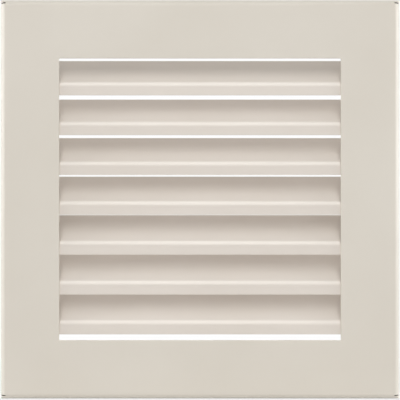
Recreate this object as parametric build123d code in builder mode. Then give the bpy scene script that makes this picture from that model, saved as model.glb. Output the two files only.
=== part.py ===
"""Square ventilation grille: a folded sheet-steel front plate with fixed louvre blades behind it.

Frame: X to the right, Y into the wall, Z up. The origin is the centre of the square rear rim,
in the plane of the wall that the grille is set against. Lengths are in millimetres.
"""
import os
from math import radians, tan

from build123d import *

# Front plate: one sheet, folded back along its four sides
plate_side = 170.0
plate_sheet = 1.0
fold_radius = 3.3  # outside of the fold
rim_depth = 10.0  # front face to the rear rim
border = 25.25  # width of the plain margin round the square opening
corner_weld = 4.0  # leg of the weld that closes each inside corner of the rim

# Relief slot at each end of the left and right folds, just inside the top and bottom folds
relief_reach = 2.5  # in from the side edge
relief_gap = 0.45  # height of the slot
relief_inset = 1.5  # from the top or bottom edge to the slot
relief_depth = 4.0  # back from the front face, a little past the fold

# Louvre blades: one bent strip each, lying against the back of the plate
blade_count = 7
blade_sheet = 0.8
blade_angle = 45.0  # slope of the blade, from the vertical
blade_bend = 2.5  # inside of the bend
lip_height = 5.15  # bottom edge of the lip to the corner that the bend rounds off
bottom_gap = 2.3  # open strip under the lowest lip
top_lap = 1.4  # how far the row of blades runs on above the opening
sight_gap = 0.36  # rear edge of a blade to the level of the lip above it
weld_lap = 8.25  # blade end behind the plate's margin

# Spring clips: one bent strip on each side, which grips the sides of the hole in the wall
clip_sheet = 0.6
clip_width = 14.0
clip_bend = 1.6  # on the face that the strip is drawn along
clip_clearance = 2.0  # from the blade ends to the clip
clip_edge_gap = 4.0  # from the clip's foot to the folded side
clip_bulge = 3.8  # how far the knee stands out from the foot of the leg
clip_knee_depth = 12.0  # behind the wall's face
clip_tip_depth = 22.0

# Worked out from the sizes above
half_side = plate_side / 2
hollow_side = plate_side - 2 * plate_sheet
opening_side = plate_side - 2 * border
front_y = -rim_depth
seat_y = front_y + plate_sheet  # back of the plate, where the blades and clips are welded on
blade_pitch = (opening_side - bottom_gap + top_lap) / blade_count
slope_rise = blade_pitch - lip_height - sight_gap
slope_run = slope_rise * tan(radians(blade_angle))
blade_length = opening_side + 2 * weld_lap
lowest_lip = bottom_gap - opening_side / 2

relief_spacing = plate_side - 2 * relief_inset - relief_gap  # between the upper and lower slots

with BuildPart() as front_plate:
    with BuildSketch(Plane.XZ):
        Rectangle(plate_side, plate_side)
    extrude(amount=rim_depth)
    fillet(front_plate.faces().sort_by(Axis.Y)[0].edges(), fold_radius)
    with BuildPart(mode=Mode.SUBTRACT) as rim_hollow:
        with BuildSketch(Plane.XZ) as hollow_outline:
            Rectangle(hollow_side, hollow_side)
            chamfer(hollow_outline.vertices(), corner_weld)
        extrude(amount=rim_depth - plate_sheet)
        fillet(rim_hollow.faces().sort_by(Axis.Y)[0].edges(), fold_radius - plate_sheet)
    with BuildSketch(Plane.XZ):
        Rectangle(opening_side, opening_side)
    extrude(amount=rim_depth, mode=Mode.SUBTRACT)
    with BuildSketch(Plane.XZ.offset(rim_depth - relief_depth)):
        with GridLocations(plate_side - relief_reach, relief_spacing, 2, 2):
            Rectangle(relief_reach, relief_gap)
    extrude(amount=relief_depth, mode=Mode.SUBTRACT)


def make_blade(lip_bottom):
    """One louvre blade: a short upright lip, bent back into a slope that climbs into the wall."""
    section_plane = Plane(origin=(0, seat_y, lip_bottom), x_dir=(0, 1, 0), z_dir=(1, 0, 0))
    with BuildPart() as blade:
        with BuildSketch(section_plane):
            with BuildLine():
                FilletPolyline(
                    (0, 0),
                    (0, lip_height),
                    (slope_run, lip_height + slope_rise),
                    radius=blade_bend + blade_sheet,
                )
                offset(amount=blade_sheet, side=Side.RIGHT)
            make_face()
        extrude(amount=blade_length / 2, both=True)
    return blade.part


def make_right_clip():
    """Right-hand spring clip: a foot on the back of the plate and a leg with a knee and a tip."""
    leg_x = blade_length / 2 + clip_clearance
    foot_end_x = half_side - plate_sheet - clip_edge_gap
    with BuildPart() as clip:
        with BuildSketch(Plane.XY):
            with BuildLine():
                FilletPolyline(
                    (foot_end_x, seat_y),
                    (leg_x, seat_y),
                    (leg_x + clip_bulge - clip_sheet, clip_knee_depth),
                    (leg_x, clip_tip_depth),
                    radius=clip_bend,
                )
                offset(amount=clip_sheet, side=Side.RIGHT)
            make_face()
        extrude(amount=clip_width / 2, both=True)
    return clip.part


os.makedirs("parts", exist_ok=True)

front_plate.part.label = "front_plate"
export_step(front_plate.part, "parts/front_plate.step")

# Blades are numbered from the top
for number in range(1, blade_count + 1):
    blade_part = make_blade(lowest_lip + (blade_count - number) * blade_pitch)
    blade_part.label = f"louvre_blade_{number}"
    export_step(blade_part, f"parts/louvre_blade_{number}.step")

right_clip = make_right_clip()
right_clip.label = "spring_clip_right"
export_step(right_clip, "parts/spring_clip_right.step")

left_clip = mirror(right_clip, about=Plane.YZ)
left_clip.label = "spring_clip_left"
export_step(left_clip, "parts/spring_clip_left.step")
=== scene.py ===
"""Looks of the square ventilation grille: powder coat, edges, weld marks, studio light and camera.

Lengths are in metres, in the frame of the solids: X to the right, Y into the wall, Z up.
"""
import math

import bmesh
import bpy
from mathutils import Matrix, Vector


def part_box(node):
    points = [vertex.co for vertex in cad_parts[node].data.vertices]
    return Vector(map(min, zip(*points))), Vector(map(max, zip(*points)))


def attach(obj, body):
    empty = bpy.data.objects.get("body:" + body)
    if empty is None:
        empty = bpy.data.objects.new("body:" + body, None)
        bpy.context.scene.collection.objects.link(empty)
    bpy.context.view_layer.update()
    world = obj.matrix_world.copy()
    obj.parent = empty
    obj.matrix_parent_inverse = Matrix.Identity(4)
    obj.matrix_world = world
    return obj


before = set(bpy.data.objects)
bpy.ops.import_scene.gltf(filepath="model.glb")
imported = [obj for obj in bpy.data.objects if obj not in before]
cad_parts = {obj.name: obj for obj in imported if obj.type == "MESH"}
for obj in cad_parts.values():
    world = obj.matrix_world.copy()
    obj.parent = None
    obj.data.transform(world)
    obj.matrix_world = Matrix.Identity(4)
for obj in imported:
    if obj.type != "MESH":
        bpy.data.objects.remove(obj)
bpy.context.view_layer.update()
plate_low, plate_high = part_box("front_plate")

MM = 0.001

# Camera: the photograph looks straight at the plate, which fills the frame
IMAGE_SIDE = 400.0
PLATE_WIDTH_PX = 401.5  # at the depth of the face; the folds turn away and look narrower
PLATE_CENTRE_PX = (200.0, 199.2)
CAMERA_DISTANCE = 320 * MM
NEAREST_SEEN = 10 * MM
SENSOR = 36.0  # width in millimetres, as Blender takes it

# Paint, in linear colour: tones of the cream from deep to light, and the blades' warmer shade of it
CREAM_TONES = ((0.676, 0.631, 0.563), (0.690, 0.646, 0.580), (0.705, 0.662, 0.597))
PLATE_TINT = (1.0, 1.0, 1.0)
BLADE_TINT = (1.035, 1.012, 1.030)
PLATE_ROUGHNESS = 0.42
BLADE_ROUGHNESS = 0.36
ROUGHNESS_DRIFT = 0.04
PLATE_COAT = 0.0
BLADE_COAT = 1.0  # the blades' bends shine, the plate's top fold does not
COAT_ROUGHNESS = 0.26

# Noise in the paint: scales are per metre, and most of a noise lies between low and high
NOISE_LOW, NOISE_HIGH = 0.3, 0.7
TONE_SCALE = 18.0
GLOSS_SCALE = 60.0
PEEL_SCALE = 900.0
PEEL_HEIGHT = 0.006 * MM
GRAIN_SCALE = 4200.0
GRAIN_HEIGHT = 0.002 * MM

# Relief slots: painted shade, a near-black colour where a wall within reach shuts out most open
# directions
SLOT_SHADE_COLOUR = (0.075, 0.072, 0.070)
SHADE_REACH = 1.2 * MM
FULL_SHADE_BELOW = 0.2  # share of open directions
NO_SHADE_ABOVE = 0.45

# Cut edges of the sheets
EDGE_ROUND = 0.16 * MM
SHARP_EDGE = math.radians(40)
SAME_POINT = 0.002 * MM

# Spot welds: places are measured from the edges of the blade or clip, on its rear face
BLADE_SHEET = 0.8 * MM
CLIP_SHEET = 0.6 * MM
BLADE_WELD_FROM_END = 4.1 * MM
BLADE_WELD_UP_LIP = 1.9 * MM
CLIP_WELD_FROM_END = 4.5 * MM
CLIP_WELD_FROM_MIDDLE = 3.5 * MM
# Radius and height in millimetres, from the dished middle to the skirt sunk in the sheet
WELD_PROFILE = ((0.75, 0.03), (1.05, 0.13), (1.25, 0.14), (1.5, 0.03), (1.55, -0.1))
WELD_SEGMENTS = 24

# Softboxes: place, width and height, power in watts
SIDE_PLACE = (1.0, -0.09, 0.05)
SIDE_SIZE = (0.43, 0.9)
SIDE_POWER = 7.1
TOP_PLACE = (0, -4.38, 4.09)
TOP_SIZE = (3.4, 6.6)
TOP_POWER = 159.0
TOP_COLOUR = (1.0, 0.99, 0.95)
BACK_PLACE = (0, 0.95, 0.12)
BACK_SIZE = (1.4, 0.4)
BACK_POWER = 3.6

# Surroundings
WHITE = (1, 1, 1, 1)
WORLD_GREY = (0.36, 0.36, 0.36, 1)
FLOOR_SIDE = 6
FLOOR_PALE = (0.92, 0.92, 0.92, 1)
FLOOR_ROUGHNESS = 0.8
FLOOR_SHADOW_RADIUS = 0.09  # within it the floor keeps the object's shadow
FLOOR_WHITE_RADIUS = 0.13
FLOOR_NEAR_WHITE = 0.6  # share of plain white near the object


def link(tree, source, target):
    tree.links.new(source, target)


def new_material(name):
    """A node material with a principled shader; returns material, tree, shader."""
    material = bpy.data.materials.new(name)
    material.use_nodes = True
    tree = material.node_tree
    shader = tree.nodes["Principled BSDF"]
    return material, tree, shader


def noise(tree, coords, scale, detail, roughness=0.5):
    node = tree.nodes.new("ShaderNodeTexNoise")
    node.inputs["Scale"].default_value = scale
    node.inputs["Detail"].default_value = detail
    node.inputs["Roughness"].default_value = roughness
    link(tree, coords, node.inputs["Vector"])
    return node.outputs["Fac"]


def ramp(tree, factor, stops):
    """A colour for each factor, from pairs of place and colour."""
    node = tree.nodes.new("ShaderNodeValToRGB")
    elements = node.color_ramp.elements
    while len(elements) < len(stops):
        elements.new(0.5)
    for element, (place, colour) in zip(elements, stops):
        element.position = place
        element.color = (*colour, 1.0)
    link(tree, factor, node.inputs["Fac"])
    return node.outputs["Color"]


def spread(tree, factor, from_low, from_high, to_low, to_high):
    """The factor mapped from one range to another."""
    node = tree.nodes.new("ShaderNodeMapRange")
    node.inputs["From Min"].default_value = from_low
    node.inputs["From Max"].default_value = from_high
    node.inputs["To Min"].default_value = to_low
    node.inputs["To Max"].default_value = to_high
    link(tree, factor, node.inputs["Value"])
    return node


def bump(tree, height, distance, under=None):
    node = tree.nodes.new("ShaderNodeBump")
    node.inputs["Distance"].default_value = distance
    node.inputs["Strength"].default_value = 1.0
    link(tree, height, node.inputs["Height"])
    if under is not None:
        link(tree, under, node.inputs["Normal"])
    return node.outputs["Normal"]


def math_node(tree, operation, first, second):
    node = tree.nodes.new("ShaderNodeMath")
    node.operation = operation
    link(tree, first, node.inputs[0])
    link(tree, second, node.inputs[1])
    return node.outputs[0]


def cream_paint(name, tint, roughness, coat):
    """Powder coat: faint tone drift, fine orange peel and a slightly uneven gloss."""
    material, tree, shader = new_material(name)
    coords = tree.nodes.new("ShaderNodeTexCoord").outputs["Object"]
    drift = noise(tree, coords, TONE_SCALE, detail=3.0)
    tones = [[part * share for part, share in zip(tone, tint)] for tone in CREAM_TONES]
    stops = list(zip((NOISE_LOW, 0.5, NOISE_HIGH), tones))
    link(tree, ramp(tree, drift, stops), shader.inputs["Base Color"])
    gloss = noise(tree, coords, GLOSS_SCALE, detail=2.0)
    smooth, rough = roughness - ROUGHNESS_DRIFT, roughness + ROUGHNESS_DRIFT
    uneven = spread(tree, gloss, NOISE_LOW, NOISE_HIGH, smooth, rough)
    link(tree, uneven.outputs["Result"], shader.inputs["Roughness"])
    peel = noise(tree, coords, PEEL_SCALE, detail=2.0, roughness=0.4)
    grain = noise(tree, coords, GRAIN_SCALE, detail=1.0)
    skin = bump(tree, peel, PEEL_HEIGHT)
    link(tree, bump(tree, grain, GRAIN_HEIGHT, skin), shader.inputs["Normal"])
    shader.inputs["Coat Weight"].default_value = coat
    shader.inputs["Coat Roughness"].default_value = COAT_ROUGHNESS
    return material


def paint_shade_in_slots(material):
    """Painted shade: a near-black colour deep in the narrow relief slots, where nearby walls close
    in on the surface.
    """
    tree = material.node_tree
    base_colour = tree.nodes["Principled BSDF"].inputs["Base Color"]
    paint = base_colour.links[0].from_socket
    openness = tree.nodes.new("ShaderNodeAmbientOcclusion")
    openness.only_local = True
    openness.samples = 4
    openness.inputs["Distance"].default_value = SHADE_REACH
    unshaded = spread(tree, openness.outputs["AO"], FULL_SHADE_BELOW, NO_SHADE_ABOVE, 0.0, 1.0)
    skin = tree.nodes.new("ShaderNodeMix")
    skin.data_type = "RGBA"
    # the near-black colour mixed in here is painted shade inside the slots
    skin.inputs["A"].default_value = (*SLOT_SHADE_COLOUR, 1.0)
    link(tree, unshaded.outputs["Result"], skin.inputs["Factor"])
    link(tree, paint, skin.inputs["B"])
    link(tree, skin.outputs["Result"], base_colour)


def soften_edges(piece):
    """Rounds the cut edges of a sheet piece a little, as paint does."""
    weld = piece.modifiers.new("weld", "WELD")
    weld.merge_threshold = SAME_POINT
    bevel = piece.modifiers.new("edge_round", "BEVEL")
    bevel.width = EDGE_ROUND
    bevel.segments = 2
    bevel.limit_method = "ANGLE"
    bevel.angle_limit = SHARP_EDGE
    bevel.harden_normals = True
    level = piece.modifiers.new("level_normals", "WEIGHTED_NORMAL")
    level.keep_sharp = True


plate_paint = cream_paint("plate_powder_coat", PLATE_TINT, PLATE_ROUGHNESS, PLATE_COAT)
# painted shade in the plate's relief slots
paint_shade_in_slots(plate_paint)
blade_paint = cream_paint("blade_powder_coat", BLADE_TINT, BLADE_ROUGHNESS, BLADE_COAT)
for name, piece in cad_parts.items():
    piece.data.materials.clear()
    piece.data.materials.append(blade_paint if name.startswith("louvre") else plate_paint)
    soften_edges(piece)


def weld_places():
    """Centres of the spot welds, on the rear faces of the blade lips and the clip feet."""
    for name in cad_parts:
        low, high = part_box(name)
        if name.startswith("louvre"):
            for x in (low.x + BLADE_WELD_FROM_END, high.x - BLADE_WELD_FROM_END):
                yield Vector((x, low.y + BLADE_SHEET, low.z + BLADE_WELD_UP_LIP))
        elif name.startswith("spring_clip"):
            x = high.x - CLIP_WELD_FROM_END if name.endswith("right") else low.x + CLIP_WELD_FROM_END
            middle = (low.z + high.z) / 2
            for z in (middle - CLIP_WELD_FROM_MIDDLE, middle + CLIP_WELD_FROM_MIDDLE):
                yield Vector((x, low.y + CLIP_SHEET, z))


def add_weld_mark(shape, centre):
    """A low ring with a dished middle, turned about the Y axis and closed below the sheet."""
    rings = []
    for radius, height in WELD_PROFILE:
        ring = []
        for step in range(WELD_SEGMENTS):
            angle = 2 * math.pi * step / WELD_SEGMENTS
            offset = Vector((radius * math.cos(angle), height, radius * math.sin(angle)))
            ring.append(shape.verts.new(centre + offset * MM))
        rings.append(ring)
    for inner, outer in zip(rings, rings[1:]):
        for step in range(WELD_SEGMENTS):
            following = (step + 1) % WELD_SEGMENTS
            shape.faces.new((inner[step], inner[following], outer[following], outer[step]))
    shape.faces.new(rings[0])
    shape.faces.new(rings[-1])


def make_spot_welds():
    """All the weld marks as one piece, painted with the plate."""
    shape = bmesh.new()
    for centre in weld_places():
        add_weld_mark(shape, centre)
    bmesh.ops.recalc_face_normals(shape, faces=shape.faces)
    for face in shape.faces:
        face.smooth = True
    mesh = bpy.data.meshes.new("spot_welds")
    shape.to_mesh(mesh)
    shape.free()
    mesh.materials.append(plate_paint)
    piece = bpy.data.objects.new("spot_welds", mesh)
    bpy.context.scene.collection.objects.link(piece)
    return piece


spot_welds = make_spot_welds()
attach(spot_welds, "root")


def area_light(name, shape, place, size, power, colour=(1, 1, 1)):
    """A softbox of that shape and size, aimed at the middle of the plate."""
    data = bpy.data.lights.new(name, "AREA")
    data.shape = shape
    data.size, data.size_y = size
    data.energy = power
    data.color = colour
    lamp = bpy.data.objects.new(name, data)
    lamp.location = place
    lamp.rotation_euler = (-Vector(place)).to_track_quat("-Z", "Y").to_euler()
    lamp.visible_camera = False
    bpy.context.scene.collection.objects.link(lamp)


for name, side in (("left_softbox", -1), ("right_softbox", 1)):
    side_place = (side * SIDE_PLACE[0], *SIDE_PLACE[1:])
    area_light(name, "RECTANGLE", side_place, SIDE_SIZE, SIDE_POWER)
area_light("top_softbox", "ELLIPSE", TOP_PLACE, TOP_SIZE, TOP_POWER, TOP_COLOUR)
area_light("backdrop_light", "RECTANGLE", BACK_PLACE, BACK_SIZE, BACK_POWER)


def seen_rays(tree):
    """1 for rays that show the surroundings, 0 for rays that only carry light to the object."""
    path = tree.nodes.new("ShaderNodeLightPath").outputs
    seen = math_node(tree, "MAXIMUM", path["Is Camera Ray"], path["Is Glossy Ray"])
    return math_node(tree, "MAXIMUM", seen, path["Is Transmission Ray"])


def light_world():
    """Soft grey light on the object, plain white where the world is seen."""
    world = bpy.data.worlds.new("studio")
    bpy.context.scene.world = world
    world.use_nodes = True
    tree = world.node_tree
    shade = tree.nodes.new("ShaderNodeMix")
    shade.data_type = "RGBA"
    shade.inputs["A"].default_value = WORLD_GREY
    shade.inputs["B"].default_value = WHITE
    link(tree, seen_rays(tree), shade.inputs["Factor"])
    link(tree, shade.outputs["Result"], tree.nodes["Background"].inputs["Color"])


def floor_paint():
    """Pale near the object, where the floor keeps the shadow, and white farther out."""
    material, tree, shader = new_material("pale_floor")
    shader.inputs["Base Color"].default_value = FLOOR_PALE
    shader.inputs["Roughness"].default_value = FLOOR_ROUGHNESS
    white = tree.nodes.new("ShaderNodeEmission")
    white.inputs["Color"].default_value = WHITE
    distance = tree.nodes.new("ShaderNodeVectorMath")
    distance.operation = "LENGTH"
    link(tree, tree.nodes.new("ShaderNodeTexCoord").outputs["Object"], distance.inputs[0])
    reach = distance.outputs["Value"]
    fade = spread(tree, reach, FLOOR_SHADOW_RADIUS, FLOOR_WHITE_RADIUS, FLOOR_NEAR_WHITE, 1.0)
    fade.interpolation_type = "SMOOTHSTEP"
    share = math_node(tree, "MULTIPLY", fade.outputs["Result"], seen_rays(tree))
    blend = tree.nodes.new("ShaderNodeMixShader")
    link(tree, share, blend.inputs["Fac"])
    link(tree, shader.outputs["BSDF"], blend.inputs[1])
    link(tree, white.outputs["Emission"], blend.inputs[2])
    link(tree, blend.outputs["Shader"], tree.nodes["Material Output"].inputs["Surface"])
    return material


light_world()
bpy.ops.mesh.primitive_plane_add(size=FLOOR_SIDE, location=(0, 0, plate_low.z))
floor = bpy.context.object
floor.name = "floor"
floor.data.materials.append(floor_paint())

# Camera, square to the plate
scene = bpy.context.scene
camera_data = bpy.data.cameras.new("camera")
camera = bpy.data.objects.new("camera", camera_data)
scene.collection.objects.link(camera)
scene.camera = camera
metres_per_pixel = (plate_high.x - plate_low.x) / PLATE_WIDTH_PX
view_side = IMAGE_SIDE * metres_per_pixel
camera_data.sensor_width = SENSOR
camera_data.lens = SENSOR * CAMERA_DISTANCE / view_side
camera_data.clip_start = NEAREST_SEEN
plate_centre = (plate_low + plate_high) / 2
camera_x = plate_centre.x - (PLATE_CENTRE_PX[0] - IMAGE_SIDE / 2) * metres_per_pixel
camera_z = plate_centre.z + (PLATE_CENTRE_PX[1] - IMAGE_SIDE / 2) * metres_per_pixel
camera.location = (camera_x, plate_low.y - CAMERA_DISTANCE, camera_z)
camera.rotation_euler = (math.pi / 2, 0, 0)

scene.view_settings.view_transform = "Standard"
